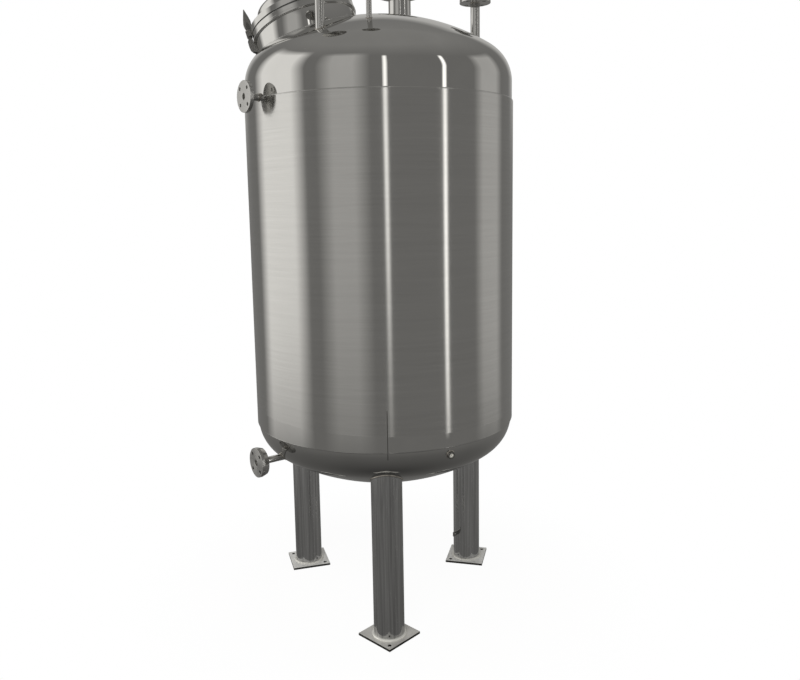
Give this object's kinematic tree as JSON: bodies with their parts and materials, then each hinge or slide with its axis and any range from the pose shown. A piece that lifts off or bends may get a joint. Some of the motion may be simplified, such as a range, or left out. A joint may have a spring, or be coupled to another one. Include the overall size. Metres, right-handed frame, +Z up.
{
  "type": "vertical storage tank",
  "caption": "Upright round stainless steel tank with dished ends on pipe legs, with a tilted round manway and flanged nozzles, for storing liquids.",
  "frame": {"origin": "on the floor, on the axis of the tank's shell", "axes": "+Z up along the tank's axis, -Y towards the front leg, +X to the right seen from the front leg's side"},
  "size_m": [1.2, 1.2099, 2.85],
  "materials": {
    "brushed_steel": "brushed round the shell",
    "polished_steel": "polished to a mirror",
    "black_rubber": "matt"
  },
  "bodies": {
    "tank": {"shell": "brushed_steel", "top_head": "polished_steel", "bottom_head": "polished_steel", "front_leg": "polished_steel", "left_leg": "polished_steel", "right_leg": "polished_steel", "front_base_plate": "polished_steel", "left_base_plate": "polished_steel", "right_base_plate": "polished_steel", "left_top_nozzle_pipe": "polished_steel", "left_top_nozzle_flange": "polished_steel", "thin_top_nozzle_pipe": "polished_steel", "thin_top_nozzle_flange": "polished_steel", "large_top_nozzle_pipe": "polished_steel", "large_top_nozzle_flange": "polished_steel", "right_top_nozzle_pipe": "polished_steel", "right_top_nozzle_flange": "polished_steel", "upper_gauge_nozzle_pipe": "polished_steel", "upper_gauge_nozzle_flange": "polished_steel", "lower_gauge_nozzle_pipe": "polished_steel", "lower_gauge_nozzle_flange": "polished_steel", "bottom_outlet_pipe": "polished_steel", "bottom_outlet_flange": "polished_steel", "bottom_coupling": "polished_steel", "bottom_coupling_plug": "polished_steel", "earthing_lug": "polished_steel", "manway_neck": "polished_steel", "manway_flange": "polished_steel", "clamp_lug": "polished_steel", "hinge_bracket": "polished_steel", "hinge_pin": "polished_steel", "manway_gasket": "black_rubber"},
    "cover": {"cover_ring": "polished_steel", "cover_dome": "polished_steel", "cover_handle": "polished_steel", "hinge_arm": "polished_steel", "clamp_ear": "polished_steel", "clamp_screw": "polished_steel"}
  },
  "joints": [
    {"name": "cover hinge", "type": "hinge", "parent": "tank", "child": "cover", "pos_m": [-0.15364, 0.18163, 2.70906], "axis": [-0.6578, 0.6841, -0.3152], "range_deg": [0, 105]}
  ]
}
